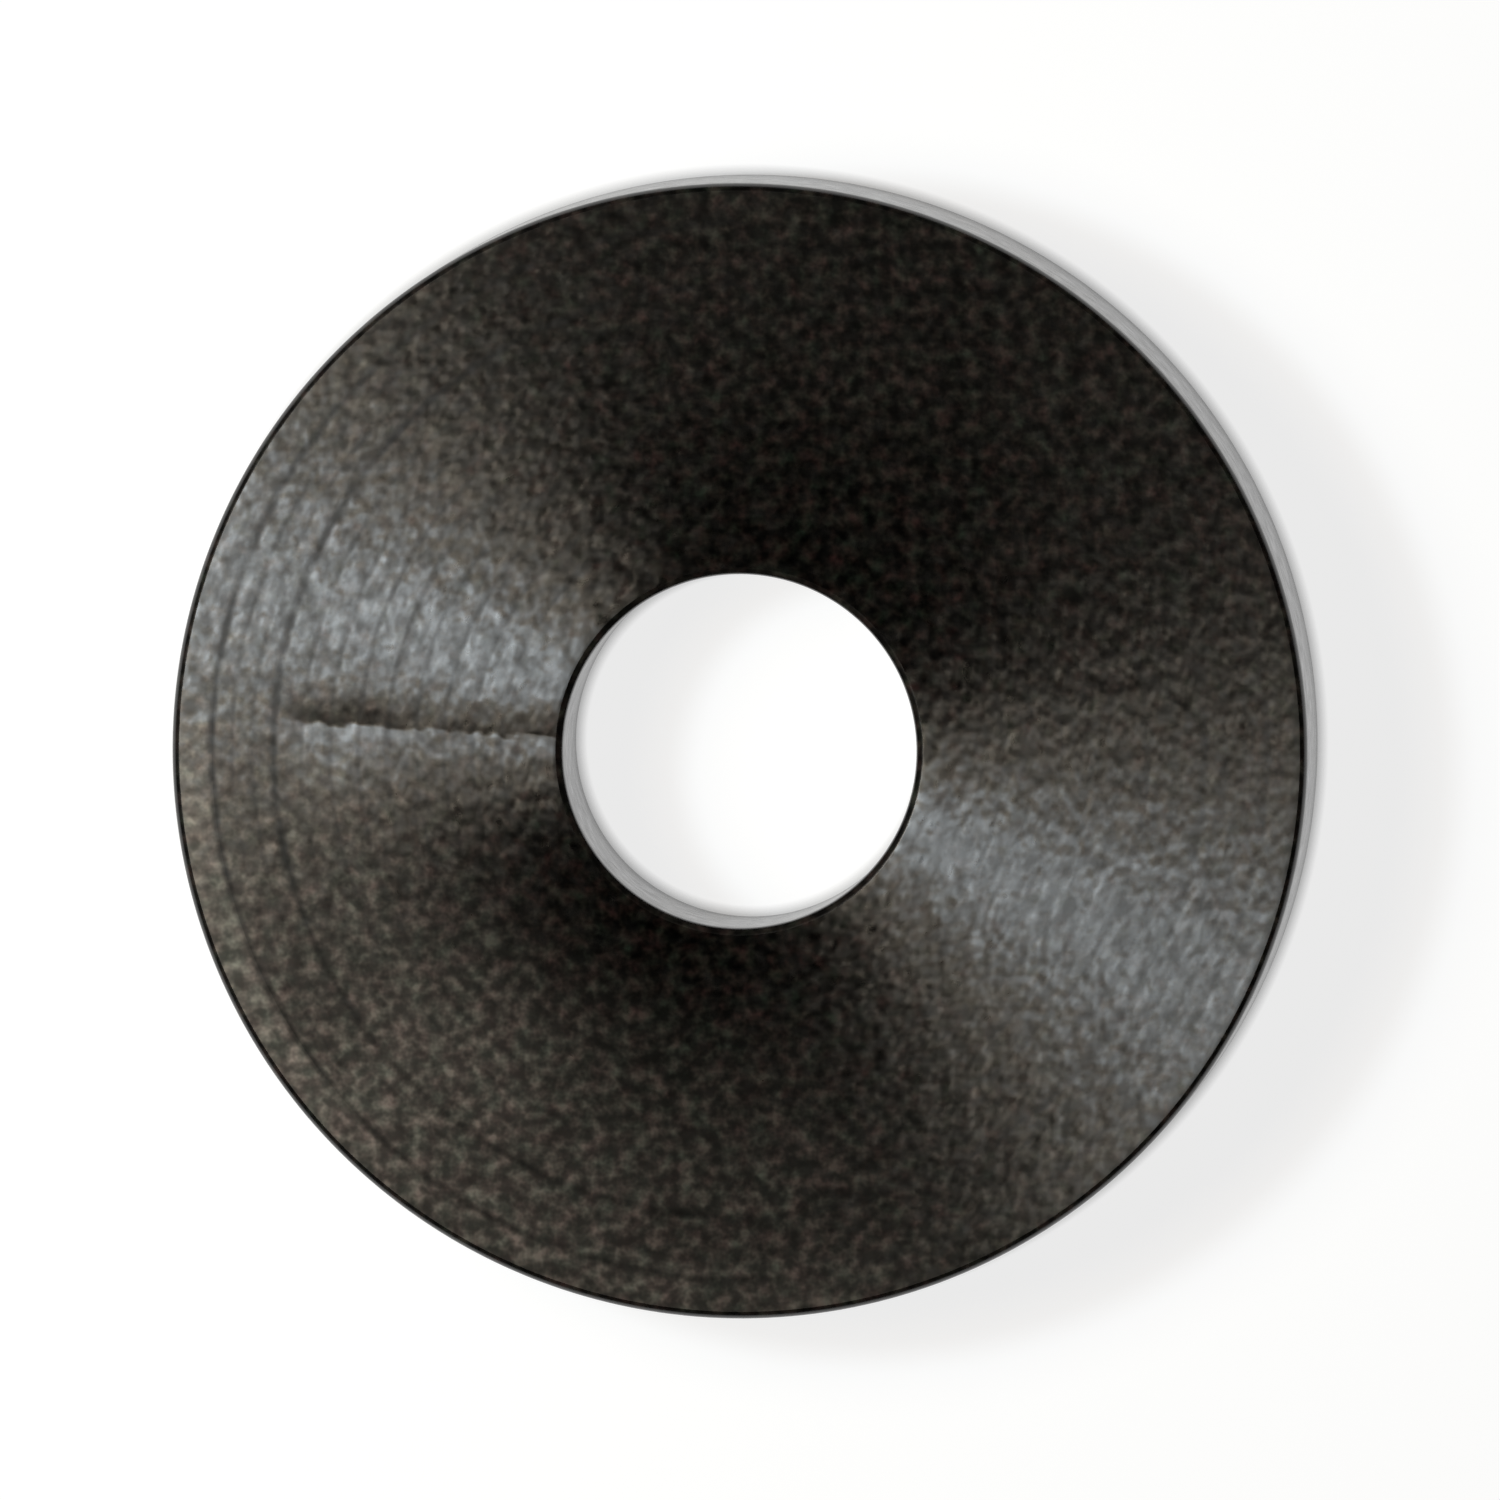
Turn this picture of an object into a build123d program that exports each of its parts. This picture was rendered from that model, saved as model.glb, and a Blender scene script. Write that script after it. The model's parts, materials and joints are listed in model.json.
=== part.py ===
from build123d import *
import math
import os

# A flat rubber faucet washer. It is one moulded ring, with fine turned rings on both of its faces,
# and on the upper face a shallow knit line where the rubber met itself on its way round the bore.
# The washer lies on its lower face. The origin is the centre of that face, and +Z is the washer's
# axis. Lengths are in millimetres and angles in degrees.

# The ring
OUTER_DIAMETER = 15.1
BORE_DIAMETER = 4.7
THICKNESS = 3.2
EDGE_BREAK = 0.08

# The two deep lines turned in each face, by how far in from the outer wall each one lies
RIM_LINE_INSET = 0.53
FIELD_LINE_INSET = 1.35
LINE_WIDTH = 0.16
LINE_DEPTH = 0.020

# The fine rings: some between the two lines, and the rest from the inner line in to the bore
RIM_RING_COUNT = 2
FIELD_RING_PITCH = 0.38
BORE_LAND = 0.45
RING_WIDTH = 0.12
RING_DEPTH = 0.012

# The knit line, a valley with one steep flank and one gentle flank, which runs out from the bore
# and ends in the inner of the two lines
KNIT_AZIMUTH = 176.0
KNIT_STEEP_WIDTH = 0.55
KNIT_GENTLE_WIDTH = 1.40
KNIT_DEPTH = 0.030

# Radii that follow from the sizes above
OUTER_RADIUS = OUTER_DIAMETER / 2
BORE_RADIUS = BORE_DIAMETER / 2
RIM_LINE_RADIUS = OUTER_RADIUS - RIM_LINE_INSET
FIELD_LINE_RADIUS = OUTER_RADIUS - FIELD_LINE_INSET


def valley(left_width, right_width, depth):
    """A V that is cut into a surface at y = 0 and meets it at the two widths, left and right of x = 0."""
    return Polygon((-2 * left_width, depth), (0, -depth), (2 * right_width, depth), align=None)


def ring_section():
    """The section of the plain ring, beside the axis and standing on z = 0, with its corners broken."""
    wall = OUTER_RADIUS - BORE_RADIUS
    middle = (OUTER_RADIUS + BORE_RADIUS) / 2
    section = Plane.XZ * Pos(middle, THICKNESS / 2) * Rectangle(wall, THICKNESS)
    return chamfer(section.vertices(), EDGE_BREAK)


def rim_ring_radii():
    """Radii of the fine rings between the two lines, evenly spaced."""
    step = (RIM_LINE_RADIUS - FIELD_LINE_RADIUS) / (RIM_RING_COUNT + 1)
    return [FIELD_LINE_RADIUS + step * number for number in range(1, RIM_RING_COUNT + 1)]


def field_ring_radii():
    """Radii of the fine rings inside the inner line, one pitch apart, up to the plain land at the bore."""
    room = FIELD_LINE_RADIUS - BORE_RADIUS - BORE_LAND
    count = math.floor(room / FIELD_RING_PITCH)
    return [FIELD_LINE_RADIUS - FIELD_RING_PITCH * number for number in range(1, count + 1)]


def groove_sections():
    """The V sections of every ring and line, on the upper face and turned over on the lower face."""
    fine = valley(RING_WIDTH / 2, RING_WIDTH / 2, RING_DEPTH)
    deep = valley(LINE_WIDTH / 2, LINE_WIDTH / 2, LINE_DEPTH)
    placed = [(radius, fine) for radius in rim_ring_radii() + field_ring_radii()]
    placed += [(radius, deep) for radius in (RIM_LINE_RADIUS, FIELD_LINE_RADIUS)]
    upper = [Plane.XZ * Pos(radius, THICKNESS) * groove for radius, groove in placed]
    lower = [Plane.XZ * Pos(radius, 0) * Rot(0, 0, 180) * groove for radius, groove in placed]
    return upper + lower


def knit_line():
    """The solid that cuts the knit line into the upper face, from the axis out to the inner line."""
    azimuth = math.radians(KNIT_AZIMUTH)
    outward = (math.cos(azimuth), math.sin(azimuth), 0)
    along_the_ring = (-math.sin(azimuth), math.cos(azimuth), 0)
    start = Plane(origin=(0, 0, THICKNESS), x_dir=along_the_ring, z_dir=outward)
    section = valley(KNIT_STEEP_WIDTH, KNIT_GENTLE_WIDTH, KNIT_DEPTH)
    valley_run = extrude(start * section, amount=OUTER_RADIUS)
    return valley_run & Cylinder(FIELD_LINE_RADIUS, 2 * THICKNESS + OUTER_RADIUS)


def washer():
    """The washer: its grooved section turned about the axis, less the knit line."""
    turned = revolve(ring_section() - groove_sections(), axis=Axis.Z)
    return turned - knit_line()


os.makedirs("parts", exist_ok=True)
export_step(washer(), "parts/washer.step")
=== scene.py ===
"""Dresses a flat rubber faucet washer: its turned faces, its moulded walls, its rubber and its studio."""
import json
import logging
import math
from dataclasses import dataclass, field
from enum import Enum

import bmesh
import bpy
from mathutils import Matrix, Vector, noise


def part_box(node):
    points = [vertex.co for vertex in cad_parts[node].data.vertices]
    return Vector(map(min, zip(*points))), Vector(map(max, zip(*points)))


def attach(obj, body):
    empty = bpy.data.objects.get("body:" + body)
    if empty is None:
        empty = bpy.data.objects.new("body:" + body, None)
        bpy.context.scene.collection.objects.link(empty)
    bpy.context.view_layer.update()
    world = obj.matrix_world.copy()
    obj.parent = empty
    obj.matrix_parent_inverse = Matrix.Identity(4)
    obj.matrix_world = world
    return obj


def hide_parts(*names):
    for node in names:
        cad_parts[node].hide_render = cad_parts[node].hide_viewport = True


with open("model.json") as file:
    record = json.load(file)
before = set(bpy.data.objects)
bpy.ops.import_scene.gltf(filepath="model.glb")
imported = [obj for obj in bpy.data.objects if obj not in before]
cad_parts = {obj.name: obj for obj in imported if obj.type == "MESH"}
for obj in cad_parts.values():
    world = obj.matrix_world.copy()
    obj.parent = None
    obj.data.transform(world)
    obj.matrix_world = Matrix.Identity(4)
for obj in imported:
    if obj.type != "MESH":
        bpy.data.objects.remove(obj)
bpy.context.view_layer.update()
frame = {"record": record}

MM = 0.001
KNIT_AZIMUTH = math.radians(176.0)
NODE = "washer"
BODY = "root"

logging.basicConfig(level=logging.INFO, format="%(message)s")
log = logging.getLogger("washer")


class Face(Enum):
    """The two flat faces of the washer. The value is the way that the face looks along Z."""

    UPPER = 1
    LOWER = -1


class Finish(Enum):
    """The washer's two finishes. The value is the finish's place in the piece's materials."""

    TURNED = 0
    MOULDED = 1


class NodeSheet:
    """Adds nodes to a node tree and links them up."""

    # Where a Mix node keeps its two colours and its mixed colour
    MIX_COLOURS = (6, 7)
    MIX_RESULT = 2

    def __init__(self, tree: bpy.types.NodeTree) -> None:
        """Keep the tree that the nodes go in."""
        self.tree = tree

    def add(self, kind: str, **settings: object) -> bpy.types.Node:
        """Add one node.

        Args:
            kind: the node's Blender type.
            settings: properties of the node and their values.

        Returns:
            The new node.
        """
        node = self.tree.nodes.new(kind)
        for name, value in settings.items():
            setattr(node, name, value)
        return node

    def feed(self, socket: bpy.types.NodeSocket, source: object) -> None:
        """Link a socket to another node's output, or set it to a plain value.

        Args:
            socket: the input that is fed.
            source: an output socket, a number, a vector or a colour.
        """
        if isinstance(source, bpy.types.NodeSocket):
            self.tree.links.new(source, socket)
        else:
            socket.default_value = source

    def math(
        self, operation: str, first: object, second: object = 0.0, third: object = 0.0,
    ) -> bpy.types.NodeSocket:
        """Work out one sum.

        Args:
            operation: the Math node's operation.
            first: a value or an output socket.
            second: a value or an output socket.
            third: a value or an output socket.

        Returns:
            The result's socket.
        """
        node = self.add("ShaderNodeMath", operation=operation)
        for socket, value in zip(node.inputs, (first, second, third)):
            self.feed(socket, value)
        return node.outputs[0]

    def vector_math(
        self, operation: str, first: object, second: object = (0.0, 0.0, 0.0),
    ) -> bpy.types.Node:
        """Work out one sum on vectors.

        Args:
            operation: the Vector Math node's operation.
            first: a vector or an output socket.
            second: a vector or an output socket.

        Returns:
            The node, whose result is its Vector or its Value.
        """
        node = self.add("ShaderNodeVectorMath", operation=operation)
        self.feed(node.inputs[0], first)
        self.feed(node.inputs[1], second)
        return node

    def split(self, vector: object) -> list[bpy.types.NodeSocket]:
        """Split a vector.

        Args:
            vector: the vector's socket.

        Returns:
            The sockets of its X, Y and Z.
        """
        node = self.add("ShaderNodeSeparateXYZ")
        self.feed(node.inputs[0], vector)
        return list(node.outputs)

    def join(self, x: object, y: object, z: object) -> bpy.types.NodeSocket:
        """Join three numbers into a vector.

        Args:
            x: a number or an output socket.
            y: a number or an output socket.
            z: a number or an output socket.

        Returns:
            The vector's socket.
        """
        node = self.add("ShaderNodeCombineXYZ")
        for socket, number in zip(node.inputs, (x, y, z)):
            self.feed(socket, number)
        return node.outputs[0]

    def mix(self, share: object, first: object, second: object, blend: str = "MIX") -> bpy.types.NodeSocket:
        """Mix two colours.

        Args:
            share: how much of the second colour, from 0 to 1.
            first: a colour or an output socket.
            second: a colour or an output socket.
            blend: the way that they mix.

        Returns:
            The mixed colour's socket.
        """
        node = self.add("ShaderNodeMix", data_type="RGBA", blend_type=blend)
        self.feed(node.inputs["Factor"], share)
        for place, colour in zip(self.MIX_COLOURS, (first, second)):
            self.feed(node.inputs[place], colour)
        return node.outputs[self.MIX_RESULT]

    def spread(self, value: object, low: object, high: object) -> bpy.types.NodeSocket:
        """Map a value from 0 to 1 on to a range.

        Args:
            value: the value or its socket.
            low: what 0 becomes.
            high: what 1 becomes.

        Returns:
            The mapped value's socket.
        """
        node = self.add("ShaderNodeMapRange")
        self.feed(node.inputs["Value"], value)
        self.feed(node.inputs["To Min"], low)
        self.feed(node.inputs["To Max"], high)
        return node.outputs["Result"]

    def ramp(self, value: object, start: object, end: object, smooth: bool = True) -> bpy.types.NodeSocket:
        """Map a range on to 0 to 1, and hold what lies past its ends there.

        Args:
            value: the value or its socket.
            start: what becomes 0.
            end: what becomes 1.
            smooth: whether the ramp eases in and out.

        Returns:
            The mapped value's socket.
        """
        node = self.add("ShaderNodeMapRange", interpolation_type="SMOOTHSTEP" if smooth else "LINEAR")
        self.feed(node.inputs["Value"], value)
        self.feed(node.inputs["From Min"], start)
        self.feed(node.inputs["From Max"], end)
        return node.outputs["Result"]

    def noise(
        self, vector: object, scale: object, detail: float, roughness: float = 0.5,
    ) -> bpy.types.NodeSocket:
        """Add a noise texture.

        Args:
            vector: the place that it is read at.
            scale: its scale.
            detail: how many octaves it has.
            roughness: how strong the fine octaves are.

        Returns:
            The noise's socket.
        """
        node = self.add("ShaderNodeTexNoise", noise_dimensions="3D")
        self.feed(node.inputs["Vector"], vector)
        self.feed(node.inputs["Scale"], scale)
        self.feed(node.inputs["Detail"], detail)
        self.feed(node.inputs["Roughness"], roughness)
        return node.outputs["Fac"]

    def bump(self, height: object) -> bpy.types.NodeSocket:
        """Bump the surface.

        Args:
            height: the height's socket, in metres.

        Returns:
            The bumped normal's socket.
        """
        node = self.add("ShaderNodeBump")
        self.feed(node.inputs["Distance"], 1.0)
        self.feed(node.inputs["Height"], height)
        return node.outputs["Normal"]

    def group(self, tree: bpy.types.NodeTree, values: dict[str, object]) -> bpy.types.Node:
        """Place a node group.

        Args:
            tree: the group.
            values: what its inputs are fed, by their names.

        Returns:
            The group's node.
        """
        node = self.add("ShaderNodeGroup", node_tree=tree)
        for name, value in values.items():
            self.feed(node.inputs[name], value)
        return node


class RingPlace:
    """Says where a point lies on the ring: its place, its distance from the Z axis and the way out to it."""

    def __init__(self, sheet: NodeSheet) -> None:
        """Add the nodes that find them.

        Args:
            sheet: the sheet that the nodes go on.
        """
        self.sheet = sheet
        self.place = sheet.add("ShaderNodeTexCoord").outputs["Object"]
        flat = sheet.vector_math("MULTIPLY", self.place, (1.0, 1.0, 0.0)).outputs["Vector"]
        self.radius = sheet.vector_math("LENGTH", flat).outputs["Value"]
        self.way = sheet.vector_math("NORMALIZE", flat).outputs["Vector"]

    def reach(self, vector: bpy.types.NodeSocket, azimuth: float) -> bpy.types.NodeSocket:
        """How far a vector reaches toward an azimuth."""
        aim = (math.cos(azimuth), math.sin(azimuth), 0.0)
        return self.sheet.vector_math("DOT_PRODUCT", vector, aim).outputs["Value"]

    def nearness(self, azimuth: float) -> bpy.types.NodeSocket:
        """How near the point lies to an azimuth: 1 there and 0 right across the ring."""
        return self.sheet.math("MULTIPLY_ADD", self.reach(self.way, azimuth), 0.5, 0.5)


def new_group(name: str, inputs: dict[str, float], outputs: tuple[str, ...]) -> bpy.types.NodeTree:
    """Start a shader node group that takes and gives plain numbers.

    Args:
        name: the group's name.
        inputs: each input's name and its default.
        outputs: the outputs' names.

    Returns:
        The group's node tree, with its sockets and no nodes.
    """
    tree = bpy.data.node_groups.new(name, "ShaderNodeTree")
    for label, default in inputs.items():
        socket = tree.interface.new_socket(label, in_out="INPUT", socket_type="NodeSocketFloat")
        socket.default_value = default
    for label in outputs:
        tree.interface.new_socket(label, in_out="OUTPUT", socket_type="NodeSocketFloat")
    return tree


def new_material(name: str) -> tuple[bpy.types.Material, NodeSheet, bpy.types.Node]:
    """Start a material.

    Args:
        name: the material's name.

    Returns:
        The material, its sheet and its Principled BSDF.
    """
    made = bpy.data.materials.new(name)
    made.use_nodes = True
    return made, NodeSheet(made.node_tree), made.node_tree.nodes["Principled BSDF"]


@dataclass(frozen=True)
class TurningMarks:
    """The marks of turning round the Z axis, which show in patches, and best on the knit line's side."""

    patch_size: float = 0.55 * MM
    patch_detail: float = 2.0
    least_strength: float = 0.1
    most_strength: float = 2.1
    far_side_strength: float = 0.3
    ring_breaks: float = 0.25
    line_detail: float = 0.5
    saddle_azimuth: float = math.radians(205.0)

    def lines(
        self, sheet: NodeSheet, ring: RingPlace, pitch: object, breaks: object,
    ) -> bpy.types.NodeSocket:
        """Draw lines that run round the axis.

        Args:
            sheet: the sheet that the nodes go on.
            ring: where a point lies on the ring.
            pitch: how far apart the lines lie.
            breaks: how often each one breaks on its way round.

        Returns:
            The lines' socket, from 0 to 1.
        """
        way_x, way_y, _ = sheet.split(ring.way)
        across = sheet.math("DIVIDE", ring.radius, pitch)
        round_x = sheet.math("MULTIPLY", way_x, breaks)
        round_y = sheet.math("MULTIPLY", way_y, breaks)
        return sheet.noise(sheet.join(across, round_x, round_y), 1.0, self.line_detail)

    def saddle(self, sheet: NodeSheet, ring: RingPlace) -> bpy.types.NodeSocket:
        """Draw the saddle that the face is warped to, high along one diameter and low along the other.

        Args:
            sheet: the sheet that the nodes go on.
            ring: where a point lies on the ring.

        Returns:
            The saddle's socket, in square metres.
        """
        along = ring.reach(ring.place, self.saddle_azimuth)
        high = sheet.math("MULTIPLY", sheet.math("MULTIPLY", along, along), 2.0)
        return sheet.math("SUBTRACT", high, sheet.math("MULTIPLY", ring.radius, ring.radius))

    def group(self) -> bpy.types.NodeTree:
        """Make the group that draws the marks.

        Returns:
            The group. Its Height is in metres: rings that run right round, streaks that run part of the way,
            and the saddle. Its Strength says how well a groove shows there, in its roughness and its painted
            shade.
        """
        inputs = {
            "Ring Height": 0.0,
            "Ring Pitch": 0.4 * MM,
            "Streak Height": 0.0,
            "Streak Pitch": 0.1 * MM,
            "Streaks Round": 6.0,
            "Warp": 0.0,
        }
        tree = new_group("turning_marks", inputs, ("Height", "Strength"))
        sheet = NodeSheet(tree)
        given = sheet.add("NodeGroupInput")
        put_out = sheet.add("NodeGroupOutput")
        ring = RingPlace(sheet)
        patches = sheet.noise(ring.place, 1 / self.patch_size, self.patch_detail)
        patches = sheet.spread(patches, self.least_strength, self.most_strength)
        kept = sheet.spread(ring.nearness(KNIT_AZIMUTH), self.far_side_strength, 1.0)
        sheet.feed(put_out.inputs["Strength"], sheet.math("MULTIPLY", patches, kept))
        rings = self.lines(sheet, ring, given.outputs["Ring Pitch"], self.ring_breaks)
        streaks = self.lines(sheet, ring, given.outputs["Streak Pitch"], given.outputs["Streaks Round"])
        height = sheet.math("MULTIPLY", rings, given.outputs["Ring Height"])
        height = sheet.math("MULTIPLY_ADD", streaks, given.outputs["Streak Height"], height)
        height = sheet.math("MULTIPLY_ADD", self.saddle(sheet, ring), given.outputs["Warp"], height)
        sheet.feed(put_out.inputs["Height"], height)
        return tree


@dataclass(frozen=True)
class Tone:
    """How a noise becomes a tone: what becomes 0, what becomes 1, and the power that it is raised to."""

    low: float
    high: float
    power: float

    def of(self, sheet: NodeSheet, texture: bpy.types.NodeSocket) -> bpy.types.NodeSocket:
        """The tone of a noise."""
        return sheet.math("POWER", sheet.ramp(texture, self.low, self.high, smooth=False), self.power)


@dataclass(frozen=True)
class RubberGrain:
    """The fine grain of filled rubber: its bumps, its duller blotches, its pale specks and their hues."""

    bump_detail: float = 1.0
    blotch_scale: float = 1.1
    blotch_detail: float = 1.5
    blotch_roughness: float = 0.6
    blotch_tone: Tone = Tone(0.27, 0.68, 1.0)
    speck_detail: float = 2.0
    speck_roughness: float = 0.55
    speck_tone: Tone = Tone(0.32, 0.70, 2.0)
    hue_scale: float = 0.9
    hue_detail: float = 1.0
    hue_tone: Tone = Tone(0.25, 0.75, 1.0)

    def group(self) -> bpy.types.NodeTree:
        """Make the group that draws the grain, which can be longer round the ring than across it.

        Returns:
            The group. Its Height is in metres, and its Blotch, its Speck and its Hue run from 0 to 1.
        """
        inputs = {
            "Grain Height": 0.0,
            "Grain Round": 0.3 * MM,
            "Grain Across": 0.3 * MM,
            "Speck Size": 0.2 * MM,
        }
        tree = new_group("rubber_grain", inputs, ("Height", "Blotch", "Speck", "Hue"))
        sheet = NodeSheet(tree)
        given = sheet.add("NodeGroupInput")
        put_out = sheet.add("NodeGroupOutput")
        ring = RingPlace(sheet)
        x, y, z = (
            sheet.math("DIVIDE", part, given.outputs["Grain Round"]) for part in sheet.split(ring.place)
        )
        out = sheet.math("DIVIDE", ring.radius, given.outputs["Grain Across"])
        place = sheet.join(x, y, sheet.math("ADD", z, out))
        bumps = sheet.noise(place, 1.0, self.bump_detail)
        blotches = sheet.noise(place, self.blotch_scale, self.blotch_detail, self.blotch_roughness)
        finest = sheet.math("DIVIDE", 1.0, given.outputs["Speck Size"])
        specks = sheet.noise(ring.place, finest, self.speck_detail, self.speck_roughness)
        hues = sheet.noise(ring.place, sheet.math("MULTIPLY", finest, self.hue_scale), self.hue_detail)
        height = sheet.math("MULTIPLY", bumps, given.outputs["Grain Height"])
        sheet.feed(put_out.inputs["Height"], height)
        sheet.feed(put_out.inputs["Blotch"], self.blotch_tone.of(sheet, blotches))
        sheet.feed(put_out.inputs["Speck"], self.speck_tone.of(sheet, specks))
        sheet.feed(put_out.inputs["Hue"], self.hue_tone.of(sheet, hues))
        return tree


@dataclass(frozen=True)
class BloomAndPaintedLight:
    """The pale layer on the faces: a cloudy coat that is partly the rubber's own pale blooming and partly
    painted light toward one side, more painted light along the outer band, and a painted highlight past the
    rim line.
    """

    azimuth: float = math.radians(217.0)
    faintest: float = 0.07
    strongest: float = 0.6
    gathering: float = 5.0
    painted_rim_light_azimuth: float = math.radians(245.0)
    painted_rim_light_strength: float = 0.14
    painted_highlight_azimuth: float = math.radians(197.0)
    painted_highlight_nearness: float = 0.94
    painted_highlight_strength: float = 0.6
    cloud_size: float = 2.2 * MM
    cloud_detail: float = 2.0
    cloud_thin: float = 0.3
    cloud_thick: float = 1.7

    def group(self) -> bpy.types.NodeTree:
        """Make the group that says how much of the pale layer lies on the rubber, blooming and painted light
        together.

        Returns:
            The group. Its first output is the share of the rubber's colour that the pale layer hides: the
            rubber's blooming, painted light toward one side and along the outer band, and a painted highlight
            past the rim line. Its Outward runs from 0 at the inner radius to 1 at the outer one.
        """
        inputs = {"Inner Radius": 0.0, "Outer Radius": 10 * MM, "Rim Radius": 10 * MM}
        tree = new_group("pale_share", inputs, ("BloomAndPaintedLight", "Outward"))
        sheet = NodeSheet(tree)
        given = sheet.add("NodeGroupInput")
        put_out = sheet.add("NodeGroupOutput")
        ring = RingPlace(sheet)
        outer, rim_line = given.outputs["Outer Radius"], given.outputs["Rim Radius"]
        outward = sheet.ramp(ring.radius, given.outputs["Inner Radius"], outer)
        sheet.feed(put_out.inputs["Outward"], outward)
        # Partly the rubber's pale blooming and partly painted light: a coat that lightens the face toward
        # azimuth 217 degrees and toward the rim.
        gathered = sheet.math("POWER", ring.nearness(self.azimuth), self.gathering)
        pale_layer = sheet.math("MULTIPLY", outward, sheet.spread(gathered, self.faintest, self.strongest))
        # Painted light: more pale colour along the outer band, strongest toward azimuth 245 degrees.
        rim = sheet.math("MULTIPLY", ring.nearness(self.painted_rim_light_azimuth), self.painted_rim_light_strength)
        rim = sheet.math("MULTIPLY", rim, sheet.ramp(ring.radius, outer, rim_line))
        # Painted highlight: a pale spot past the rim line, toward azimuth 197 degrees, where the sheen
        # reaches the outer band.
        outside = sheet.math("GREATER_THAN", ring.radius, rim_line)
        painted_highlight = sheet.ramp(ring.nearness(self.painted_highlight_azimuth), self.painted_highlight_nearness, 1.0)
        painted_highlight = sheet.math("MULTIPLY", painted_highlight, sheet.math("MULTIPLY", outside, self.painted_highlight_strength))
        whole = sheet.math("ADD", sheet.math("ADD", pale_layer, rim), painted_highlight)
        cloud = sheet.noise(ring.place, 1 / self.cloud_size, self.cloud_detail)
        cloud = sheet.spread(cloud, self.cloud_thin, self.cloud_thick)
        sheet.feed(put_out.inputs["BloomAndPaintedLight"], sheet.math("MULTIPLY", whole, cloud))
        return tree


@dataclass(frozen=True)
class RubberColour:
    """The rubber's own black, the pale layer on it (the rubber's blooming, and on the faces also painted
    light), and the two hues that the specks in each lean to.
    """

    dark: tuple[float, float, float, float] = (0.0001, 0.0001, 0.0001, 1.0)
    light: tuple[float, float, float, float] = (0.0275, 0.0222, 0.0170, 1.0)
    # The pale layer's colours: the rubber's blooming, and on the faces also painted light.
    pale_dark: tuple[float, float, float, float] = (0.092, 0.086, 0.074, 1.0)
    pale_light: tuple[float, float, float, float] = (0.385, 0.350, 0.293, 1.0)
    brown: tuple[float, float, float, float] = (1.00, 0.55, 0.65, 1.0)
    green: tuple[float, float, float, float] = (0.44, 0.82, 0.72, 1.0)
    pale_brown: tuple[float, float, float, float] = (0.82, 0.715, 0.74, 1.0)
    pale_green: tuple[float, float, float, float] = (0.70, 0.755, 0.74, 1.0)

    def colour(
        self, sheet: NodeSheet, grain: bpy.types.Node, pale_share: object, groove: object = 0.0,
    ) -> bpy.types.NodeSocket:
        """Mix the colour.

        Args:
            sheet: the sheet that the nodes go on.
            grain: the rubber grain's node.
            pale_share: how much of the pale layer shows, or its socket; on the faces it carries painted light
                and a painted highlight as well as blooming.
            groove: painted shade in the rings and lines: how far the colour goes to the rubber's darkest,
                from 0 to 1.

        Returns:
            The colour's socket.
        """
        speck, hue = grain.outputs["Speck"], grain.outputs["Hue"]
        rubber = sheet.mix(speck, self.dark, self.light)
        pale_layer = sheet.mix(speck, self.pale_dark, self.pale_light)
        rubber = sheet.mix(1.0, rubber, sheet.mix(hue, self.brown, self.green), "MULTIPLY")
        pale_layer = sheet.mix(1.0, pale_layer, sheet.mix(hue, self.pale_brown, self.pale_green), "MULTIPLY")
        return sheet.mix(groove, sheet.mix(pale_share, rubber, pale_layer), self.dark)


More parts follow.
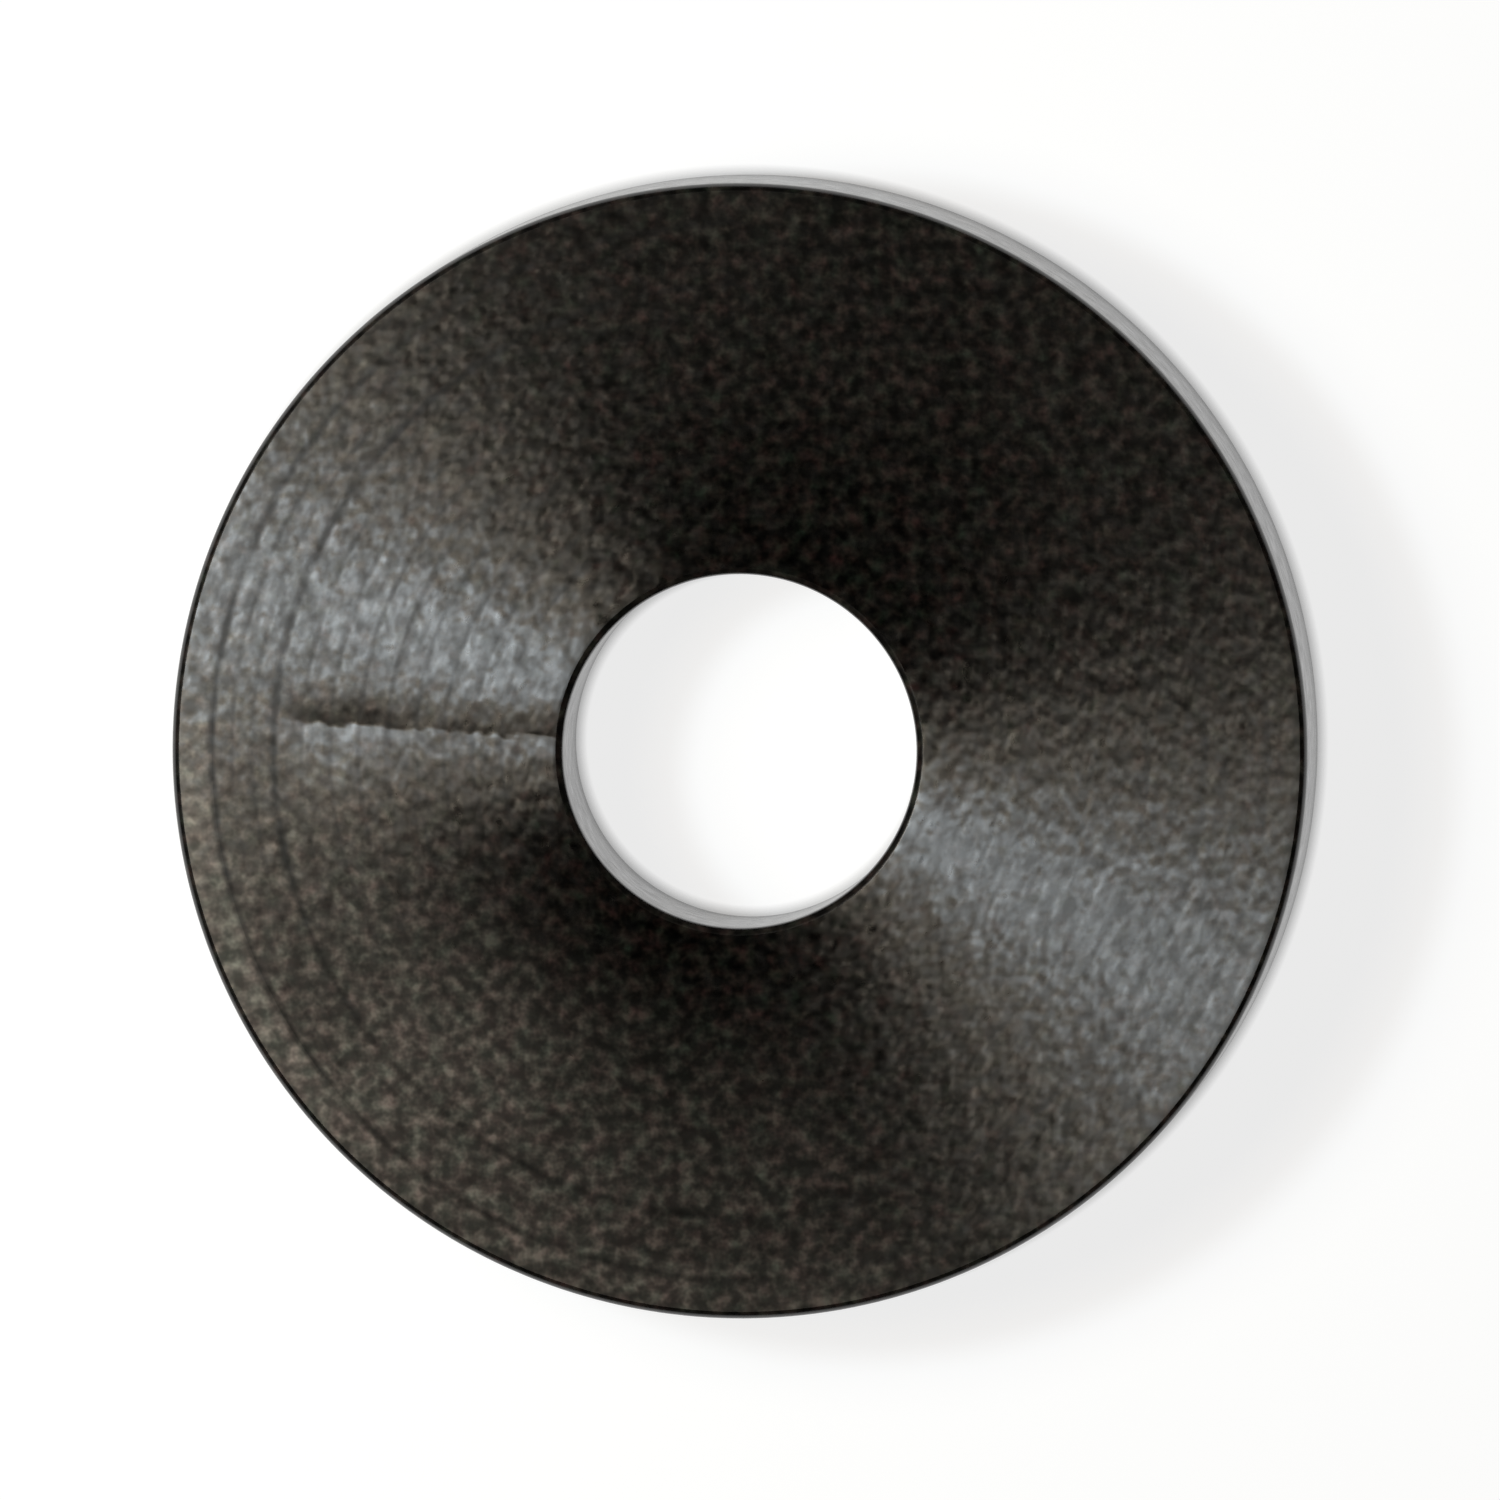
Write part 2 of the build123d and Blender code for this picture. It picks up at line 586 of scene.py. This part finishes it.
@dataclass(frozen=True)
class TurnedRubber:
    """The satin finish of the two faces, which stretches each highlight across the turning marks."""

    inner_radius: float
    outer_radius: float
    rim_radius: float
    colours: RubberColour = RubberColour()
    refraction: float = 1.58
    smooth: float = 0.25
    rough: float = 0.45
    groove_dullness: float = 0.14
    groove_shade: float = 0.6
    outward_dullness: float = 0.035
    warp: float = 1.15
    stretch: float = 1.0
    stretch_turn: float = 0.25
    ring_height: float = 0.010 * MM
    ring_pitch: float = 0.20 * MM
    streak_height: float = 0.005 * MM
    streak_pitch: float = 0.13 * MM
    streaks_round: float = 6.0
    grain_height: float = 0.0112 * MM
    grain_round: float = 0.29 * MM
    grain_across: float = 0.23 * MM
    speck_size: float = 0.20 * MM

    def material(
        self, marks: bpy.types.NodeTree, grain: bpy.types.NodeTree, pale_share: bpy.types.NodeTree,
    ) -> bpy.types.Material:
        """Make the material.

        Args:
            marks: the turning marks' node group.
            grain: the rubber grain's node group.
            pale_share: the pale layer's node group, which puts painted light and a painted highlight on the
                faces as well as blooming.

        Returns:
            The material.
        """
        made, sheet, shader = new_material("turned_rubber")
        turned = sheet.group(marks, {
            "Ring Height": self.ring_height,
            "Ring Pitch": self.ring_pitch,
            "Streak Height": self.streak_height,
            "Streak Pitch": self.streak_pitch,
            "Streaks Round": self.streaks_round,
            "Warp": self.warp,
        })
        grained = sheet.group(grain, {
            "Grain Height": self.grain_height,
            "Grain Round": self.grain_round,
            "Grain Across": self.grain_across,
            "Speck Size": self.speck_size,
        })
        pale_layer = sheet.group(pale_share, {
            "Inner Radius": self.inner_radius,
            "Outer Radius": self.outer_radius,
            "Rim Radius": self.rim_radius,
        })
        groove = sheet.add("ShaderNodeAttribute", attribute_name="groove").outputs["Fac"]
        groove = sheet.math("MULTIPLY", groove, turned.outputs["Strength"])
        # Painted shade: the colour darkens toward the rubber's darkest in the rings and lines.
        shade = sheet.math("MULTIPLY", groove, self.groove_shade)
        # Painted light: the pale layer lightens the colour toward one side, along the outer band and, as a
        # painted highlight, past the rim line.
        colour = self.colours.colour(sheet, grained, pale_layer.outputs["BloomAndPaintedLight"], shade)
        dull = sheet.spread(grained.outputs["Blotch"], self.smooth, self.rough)
        dull = sheet.math("MULTIPLY_ADD", groove, self.groove_dullness, dull)
        dull = sheet.math("MULTIPLY_ADD", pale_layer.outputs["Outward"], self.outward_dullness, dull)
        height = sheet.math("ADD", turned.outputs["Height"], grained.outputs["Height"])
        tangent = sheet.add("ShaderNodeTangent", direction_type="RADIAL", axis="Z")
        sheet.feed(shader.inputs["Base Color"], colour)
        sheet.feed(shader.inputs["Roughness"], dull)
        sheet.feed(shader.inputs["Normal"], sheet.bump(height))
        sheet.feed(shader.inputs["Tangent"], tangent.outputs["Tangent"])
        shader.inputs["IOR"].default_value = self.refraction
        shader.inputs["Anisotropic"].default_value = self.stretch
        shader.inputs["Anisotropic Rotation"].default_value = self.stretch_turn
        return made


@dataclass(frozen=True)
class MouldedRubber:
    """The plain satin finish of the outer wall and of the bore."""

    colours: RubberColour = RubberColour()
    refraction: float = 1.6
    smooth: float = 0.19
    rough: float = 0.29
    grain_height: float = 0.0010 * MM
    grain_size: float = 0.26 * MM
    speck_size: float = 0.20 * MM
    pale_share: float = 0.05

    def material(self, grain: bpy.types.NodeTree) -> bpy.types.Material:
        """Make the material.

        Args:
            grain: the rubber grain's node group.

        Returns:
            The material.
        """
        made, sheet, shader = new_material("moulded_rubber")
        grained = sheet.group(grain, {
            "Grain Height": self.grain_height,
            "Grain Round": self.grain_size,
            "Grain Across": self.grain_size,
            "Speck Size": self.speck_size,
        })
        dull = sheet.spread(grained.outputs["Blotch"], self.smooth, self.rough)
        sheet.feed(shader.inputs["Base Color"], self.colours.colour(sheet, grained, self.pale_share))
        sheet.feed(shader.inputs["Roughness"], dull)
        sheet.feed(shader.inputs["Normal"], sheet.bump(grained.outputs["Height"]))
        shader.inputs["IOR"].default_value = self.refraction
        return made


@dataclass
class Washer:
    """The moulded ring, with turned rings in both faces and the knit line in the upper one."""

    outer_radius: float
    bore_radius: float
    thickness: float
    edge_radius: float = 0.14 * MM
    edge_segments: int = 5
    turned_flatness: float = 0.93
    rim_line_inset: float = 0.53 * MM
    field_line_inset: float = 1.35 * MM
    line_width: float = 0.18 * MM
    line_depth: float = 0.008 * MM
    rim_ring_count: int = 2
    field_ring_pitch: float = 0.38 * MM
    bore_land: float = 0.45 * MM
    ring_width: float = 0.12 * MM
    ring_depth: float = 0.003 * MM
    ring_wear: float = 0.5
    # Where the pale layer, with its painted light, begins outside the bore and ends inside the rim.
    pale_layer_inset: tuple[float, float] = (0.25 * MM, 0.95 * MM)
    knit_azimuth: float = KNIT_AZIMUTH
    knit_steep_width: float = 0.55 * MM
    knit_gentle_width: float = 1.40 * MM
    knit_depth: float = 0.028 * MM
    knit_faint: float = 0.50
    knit_deep_radius: float = 5.25 * MM
    knit_deep_length: float = 0.70 * MM
    knit_wander: float = 0.10 * MM
    knit_wander_length: float = 0.11 * MM
    knit_gentle_power: float = 3.0
    knit_steep_power: float = 2.0
    knit_mouth: float = 0.15
    knit_mouth_length: float = 0.90 * MM
    spokes: int = 420
    spoke_crowding: float = 0.7
    radius_step: float = 0.00001 * MM
    groove_points: dict[Face, int] = field(default_factory=lambda: {Face.UPPER: 7, Face.LOWER: 4})
    plain_points: dict[Face, int] = field(default_factory=lambda: {Face.UPPER: 4, Face.LOWER: 0})
    wall_cuts: int = 4

    def line_radii(self) -> list[float]:
        """The radii of the two deep lines, the outer one first."""
        return [self.outer_radius - self.rim_line_inset, self.outer_radius - self.field_line_inset]

    def ring_radii(self) -> list[float]:
        """Find the radii of the fine rings.

        Returns:
            The rings between the two lines, then those from the inner line in to the bore's plain land.
        """
        rim_line, field_line = self.line_radii()
        step = (rim_line - field_line) / (self.rim_ring_count + 1)
        rim = [field_line + step * number for number in range(1, self.rim_ring_count + 1)]
        room = field_line - self.bore_radius - self.bore_land
        count = math.floor(room / self.field_ring_pitch)
        return rim + [field_line - self.field_ring_pitch * number for number in range(1, count + 1)]

    def grooves(self) -> list[tuple[float, float, float]]:
        """The radius, the width and the depth of each line and of each ring."""
        lines = [(radius, self.line_width, self.line_depth) for radius in self.line_radii()]
        return lines + [(radius, self.ring_width, self.ring_depth) for radius in self.ring_radii()]

    def turned_depth(self, radius: float) -> float:
        """Find how far the rings and lines go below a face.

        Args:
            radius: the distance from the axis.

        Returns:
            The depth there.
        """
        depth = 0.0
        for middle, width, deepest in self.grooves():
            share = abs(radius - middle) / (width / 2)
            if share < 1:
                depth += deepest * (1 + math.cos(math.pi * share)) / 2
        return depth

    def turned_depths(self, mesh: bmesh.types.BMesh) -> list[float]:
        """Find how far the rings and lines go below the face at each point of the mesh.

        Args:
            mesh: the spun ring.

        Returns:
            The depths, in the order of the mesh's points.
        """
        known: dict[int, float] = {}
        depths = []
        for vert in mesh.verts:
            radius = math.hypot(vert.co.x, vert.co.y)
            key = round(radius / self.radius_step)
            if key not in known:
                known[key] = self.turned_depth(radius)
            depths.append(known[key])
        return depths

    def face_radii(self, face: Face) -> list[float]:
        """List the radii at which a face's section has a point: across each groove and between grooves.

        Args:
            face: the face.

        Returns:
            The radii, the smallest first.
        """
        count = self.groove_points[face]
        radii = []
        for middle, width, _ in self.grooves():
            radii += [middle + width * (number / (count - 1) - 0.5) for number in range(count)]
        radii.sort()
        ends = [self.bore_radius + self.edge_radius] + radii + [self.outer_radius - self.edge_radius]
        for inner, outer in zip(ends[:-1], ends[1:]):
            if outer - inner > self.ring_width:
                step = (outer - inner) / (self.plain_points[face] + 1)
                radii += [inner + step * number for number in range(1, self.plain_points[face] + 1)]
        return sorted(radii)

    def knit_depth_at(self, x: float, y: float) -> float:
        """Find how far the knit line goes below the upper face.

        Args:
            x: the place across the washer.
            y: the place up the washer.

        Returns:
            The depth there.
        """
        out = x * math.cos(self.knit_azimuth) + y * math.sin(self.knit_azimuth)
        across = y * math.cos(self.knit_azimuth) - x * math.sin(self.knit_azimuth)
        across += self.knit_wander * noise.noise(Vector((out / self.knit_wander_length, 0.5, 0.5)))
        gentle = (self.knit_gentle_width, self.knit_gentle_power)
        steep = (self.knit_steep_width, self.knit_steep_power)
        width, power = gentle if across > 0 else steep
        share = abs(across) / width
        if out < 0 or share >= 1:
            return 0.0
        end = self.line_radii()[1]
        radius = math.hypot(x, y)
        fade = min(max((end - radius) / (2 * self.line_width), 0.0), 1.0)
        deep = math.exp(-((radius - self.knit_deep_radius) / self.knit_deep_length) ** 2)
        mouth = math.exp(-((radius - self.bore_radius) / self.knit_mouth_length) ** 2)
        strength = self.knit_faint + (1 - self.knit_faint) * deep + self.knit_mouth * mouth
        return self.knit_depth * strength * (1 - share) ** power * fade

    def section(self, mesh: bmesh.types.BMesh) -> None:
        """Draw the ring's section beside the axis: rounded corners, and the rings cut into both faces.

        Args:
            mesh: the empty mesh that the section is drawn in.
        """
        corners = [
            mesh.verts.new((self.bore_radius, 0.0, 0.0)),
            mesh.verts.new((self.outer_radius, 0.0, 0.0)),
            mesh.verts.new((self.outer_radius, 0.0, self.thickness)),
            mesh.verts.new((self.bore_radius, 0.0, self.thickness)),
        ]
        mesh.faces.new(corners)
        bmesh.ops.bevel(
            mesh, geom=mesh.verts[:], offset=self.edge_radius, offset_type="OFFSET",
            segments=self.edge_segments, profile=0.5, affect="VERTICES", material=-1,
        )
        bmesh.ops.delete(mesh, geom=mesh.faces[:], context="FACES_ONLY")
        straight = [edge for edge in mesh.edges if edge.calc_length() > 2 * self.edge_radius]
        for edge in straight:
            run = edge.verts[1].co - edge.verts[0].co
            if abs(run.z) > abs(run.x):
                bmesh.ops.subdivide_edges(mesh, edges=[edge], cuts=self.wall_cuts)
                continue
            face = Face.UPPER if edge.verts[0].co.z > self.thickness / 2 else Face.LOWER
            radii = self.face_radii(face)
            cut = bmesh.ops.subdivide_edges(mesh, edges=[edge], cuts=len(radii))
            added = [item for item in cut["geom_inner"] if isinstance(item, bmesh.types.BMVert)]
            for vert, radius in zip(sorted(added, key=lambda vert: vert.co.x), radii):
                vert.co.x = radius
                vert.co.z -= face.value * self.turned_depth(radius)

    def crowd_spokes(self, mesh: bmesh.types.BMesh) -> None:
        """Move the mesh's spokes round the axis so that more of them lie at the knit line.

        Args:
            mesh: the spun ring.
        """
        for vert in mesh.verts:
            radius = math.hypot(vert.co.x, vert.co.y)
            azimuth = math.atan2(vert.co.y, vert.co.x)
            azimuth -= self.spoke_crowding * math.sin(azimuth - self.knit_azimuth)
            vert.co.x = radius * math.cos(azimuth)
            vert.co.y = radius * math.sin(azimuth)

    def wear_rings(self, mesh: bmesh.types.BMesh) -> None:
        """Wear the rings of the upper face down, most of all on the side across from the knit line.

        Args:
            mesh: the spun ring.
        """
        for vert, depth in zip(mesh.verts, self.turned_depths(mesh)):
            if vert.co.z > self.thickness / 2:
                away = 1 - math.cos(math.atan2(vert.co.y, vert.co.x) - self.knit_azimuth)
                vert.co.z += depth * self.ring_wear * away / 2

    def press_knit_line(self, mesh: bmesh.types.BMesh) -> None:
        """Press the knit line into the upper face.

        Args:
            mesh: the spun ring.
        """
        for vert in mesh.verts:
            if vert.co.z > self.thickness / 2:
                top_share = max(0.0, 1 - (self.thickness - vert.co.z) / self.edge_radius)
                vert.co.z -= self.knit_depth_at(vert.co.x, vert.co.y) * top_share

    def mark_grooves(self, mesh: bmesh.types.BMesh) -> None:
        """Mark each point with how deep in a ring or line it lies, from 0 to 1.

        Args:
            mesh: the spun ring.
        """
        layer = mesh.verts.layers.float.new("groove")
        for vert, depth in zip(mesh.verts, self.turned_depths(mesh)):
            vert[layer] = depth / self.line_depth

    def mesh(self) -> bpy.types.Mesh:
        """Make the ring's mesh.

        Returns:
            The mesh, with each facet given its finish's material.
        """
        ring = bmesh.new()
        self.section(ring)
        bmesh.ops.spin(
            ring, geom=ring.verts[:] + ring.edges[:], cent=(0, 0, 0), axis=(0, 0, 1), dvec=(0, 0, 0),
            angle=math.tau, steps=self.spokes, use_merge=True, use_duplicate=False,
        )
        self.crowd_spokes(ring)
        self.wear_rings(ring)
        self.press_knit_line(ring)
        bmesh.ops.recalc_face_normals(ring, faces=ring.faces[:])
        self.mark_grooves(ring)
        for facet in ring.faces:
            facet.smooth = True
            flat = abs(facet.normal.z) > self.turned_flatness
            facet.material_index = (Finish.TURNED if flat else Finish.MOULDED).value
        made = bpy.data.meshes.new("moulded_ring")
        ring.to_mesh(made)
        ring.free()
        return made

    def build(self) -> bpy.types.Object:
        """Build the washer, dress it and put it in the CAD node's place.

        Returns:
            The finished piece.
        """
        grain = RubberGrain().group()
        turned = TurnedRubber(
            inner_radius=self.bore_radius + self.pale_layer_inset[0],
            outer_radius=self.outer_radius - self.pale_layer_inset[1],
            rim_radius=self.line_radii()[0],
        )
        piece = bpy.data.objects.new("moulded_ring", self.mesh())
        piece.data.materials.append(turned.material(TurningMarks().group(), grain, BloomAndPaintedLight().group()))
        piece.data.materials.append(MouldedRubber().material(grain))
        bpy.context.scene.collection.objects.link(piece)
        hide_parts(NODE)
        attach(piece, BODY)
        return piece


def leaning_way(azimuth: float, tilt: float) -> Vector:
    """The way from the washer that leans off the Z axis by a tilt, toward an azimuth."""
    return Vector((math.sin(tilt) * math.cos(azimuth), math.sin(tilt) * math.sin(azimuth), math.cos(tilt)))


@dataclass(frozen=True)
class Softbox:
    """A round soft lamp that looks at the washer."""

    name: str
    azimuth: float
    tilt: float
    distance: float
    size: float
    level: float
    colour: tuple[float, float, float]

    def watts(self) -> float:
        """The power that lights a level white surface at the washer to the lamp's level."""
        return self.level * math.pi ** 2 * self.distance ** 2 / math.cos(self.tilt)

    def build(self) -> bpy.types.Object:
        """Put the lamp in the scene.

        Returns:
            The lamp's object.
        """
        lamp = bpy.data.lights.new(self.name, "AREA")
        lamp.shape = "DISK"
        lamp.size = self.size
        lamp.energy = self.watts()
        lamp.color = self.colour
        made = bpy.data.objects.new(self.name, lamp)
        way = leaning_way(self.azimuth, self.tilt)
        made.location = way * self.distance
        made.rotation_euler = way.to_track_quat("Z", "Y").to_euler()
        bpy.context.scene.collection.objects.link(made)
        return made


@dataclass
class Studio:
    """The white floor, the lamps, the surroundings and the camera."""

    floor_radius: float = 400 * MM
    floor_segments: int = 64
    floor_drop: float = 0.01 * MM
    floor_colour: float = 0.28
    floor_glow: float = 0.82
    # How far the floor's painted contact shadow reaches.
    contact_reach: float = 0.18 * MM
    contact_samples: int = 8
    ceiling: float = 0.002
    horizon: float = 0.06
    horizon_height: float = 0.35
    backdrop: float = 1.0
    soft_lamp: Softbox = Softbox(
        name="soft", azimuth=math.radians(166.0), tilt=math.radians(26.0), distance=80 * MM, size=36 * MM,
        level=0.45, colour=(1.0, 0.875, 0.69),
    )
    core_lamp: Softbox = Softbox(
        name="core", azimuth=math.radians(166.0), tilt=math.radians(26.0), distance=80 * MM, size=10 * MM,
        level=0.34, colour=(0.72, 0.87, 1.0),
    )
    camera_azimuth: float = math.radians(41.0)
    camera_tilt: float = math.radians(4.2)
    camera_distance: float = 700 * MM
    sensor: float = 36.0
    nearest: float = 1 * MM
    farthest: float = 5000 * MM
    frame_pixels: int = 1500
    face_radius_pixels: float = 568.6
    face_centre_pixels: tuple[float, float] = (739.2, 751.5)

    def floor(self) -> bpy.types.Object:
        """Lay the floor.

        Returns:
            The floor's object.
        """
        disc = bmesh.new()
        bmesh.ops.create_circle(disc, cap_ends=True, segments=self.floor_segments, radius=self.floor_radius)
        bmesh.ops.translate(disc, verts=disc.verts[:], vec=(0, 0, -self.floor_drop))
        bmesh.ops.recalc_face_normals(disc, faces=disc.faces[:])
        made = bpy.data.meshes.new("floor")
        disc.to_mesh(made)
        disc.free()
        floor = bpy.data.objects.new("floor", made)
        made.materials.append(self.floor_material())
        bpy.context.scene.collection.objects.link(floor)
        return floor

    def floor_material(self) -> bpy.types.Material:
        """Make the floor's white, which keeps the washer's shadow, and a painted contact shadow: its glow
        dims with ambient occlusion close to the washer.

        Returns:
            The material.
        """
        made = bpy.data.materials.new("floor_white")
        made.use_nodes = True
        made.node_tree.nodes.clear()
        sheet = NodeSheet(made.node_tree)
        ray = sheet.add("ShaderNodeLightPath")
        seen = sheet.math("MAXIMUM", ray.outputs["Is Camera Ray"], ray.outputs["Is Glossy Ray"])
        seen = sheet.math("MAXIMUM", seen, ray.outputs["Is Transmission Ray"])
        # Painted contact shadow: the floor's glow darkens where ambient occlusion finds the washer close by.
        painted_contact_shadow = sheet.add("ShaderNodeAmbientOcclusion", samples=self.contact_samples)
        sheet.feed(painted_contact_shadow.inputs["Distance"], self.contact_reach)
        glow_with_painted_shadow = sheet.spread(painted_contact_shadow.outputs["AO"], 0.0, self.floor_glow)
        glow = sheet.add("ShaderNodeEmission")
        sheet.feed(glow.inputs["Strength"], sheet.math("MULTIPLY", seen, glow_with_painted_shadow))
        paint = sheet.add("ShaderNodeBsdfDiffuse")
        sheet.feed(paint.inputs["Color"], (self.floor_colour, self.floor_colour, self.floor_colour, 1.0))
        both = sheet.add("ShaderNodeAddShader")
        sheet.feed(both.inputs[0], glow.outputs[0])
        sheet.feed(both.inputs[1], paint.outputs[0])
        out = sheet.add("ShaderNodeOutputMaterial")
        sheet.feed(out.inputs["Surface"], both.outputs[0])
        return made

    def world(self) -> bpy.types.World:
        """Make the surroundings: dark overhead, pale round the horizon, and white where the camera sees them.

        Returns:
            The world.
        """
        made = bpy.data.worlds.new("studio")
        made.use_nodes = True
        made.node_tree.nodes.clear()
        sheet = NodeSheet(made.node_tree)
        way = sheet.split(sheet.add("ShaderNodeTexCoord").outputs["Generated"])
        height = sheet.ramp(sheet.math("ABSOLUTE", way[2]), 0.0, self.horizon_height)
        unseen = sheet.spread(height, self.horizon, self.ceiling)
        ray = sheet.add("ShaderNodeLightPath")
        sky = sheet.add("ShaderNodeBackground")
        sheet.feed(sky.inputs["Strength"], sheet.spread(ray.outputs["Is Camera Ray"], unseen, self.backdrop))
        out = sheet.add("ShaderNodeOutputWorld")
        sheet.feed(out.inputs["Surface"], sky.outputs[0])
        bpy.context.scene.world = made
        return made

    def camera(self, face_radius: float, face_height: float) -> bpy.types.Object:
        """Set the camera over the washer, where the photograph was taken from.

        Args:
            face_radius: the outer radius of the face that the camera sees.
            face_height: how high that face lies.

        Returns:
            The camera.
        """
        lens = bpy.data.cameras.new("photo_camera")
        lens.sensor_width = self.sensor
        lens.sensor_fit = "HORIZONTAL"
        span = self.frame_pixels * face_radius / self.face_radius_pixels
        lens.lens = self.sensor * self.camera_distance / span
        middle = self.frame_pixels / 2
        lens.shift_x = (middle - self.face_centre_pixels[0]) / self.frame_pixels
        lens.shift_y = (self.face_centre_pixels[1] - middle) / self.frame_pixels
        lens.clip_start = self.nearest
        lens.clip_end = self.farthest
        made = bpy.data.objects.new("photo_camera", lens)
        back = leaning_way(self.camera_azimuth, self.camera_tilt)
        right = Vector((0, 1, 0)).cross(back).normalized()
        turn = Matrix((right, back.cross(right), back)).transposed().to_4x4()
        place = Vector((0, 0, face_height)) + back * self.camera_distance
        made.matrix_world = Matrix.Translation(place) @ turn
        bpy.context.scene.collection.objects.link(made)
        bpy.context.scene.camera = made
        return made

    def build(self, face_radius: float, face_height: float) -> None:
        """Set the whole studio up.

        Args:
            face_radius: the outer radius of the washer's upper face.
            face_height: how high that face lies.
        """
        self.floor()
        self.soft_lamp.build()
        self.core_lamp.build()
        self.world()
        self.camera(face_radius, face_height)


def bore_radius() -> float:
    """The radius of the bore, from the record's mount."""
    bore = next(mount for mount in frame["record"]["mounts"] if mount["name"] == "bore")
    return bore["dims"]["r_mm"] * MM


def main() -> None:
    """Build the washer and its studio."""
    low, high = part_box(NODE)
    washer = Washer(outer_radius=high[0], bore_radius=bore_radius(), thickness=high[2] - low[2])
    piece = washer.build()
    log.info("%s: %d facets", piece.name, len(piece.data.polygons))
    Studio().build(washer.outer_radius, washer.thickness)
    bpy.context.scene.view_settings.view_transform = "Standard"


if __name__ == "__main__":
    main()
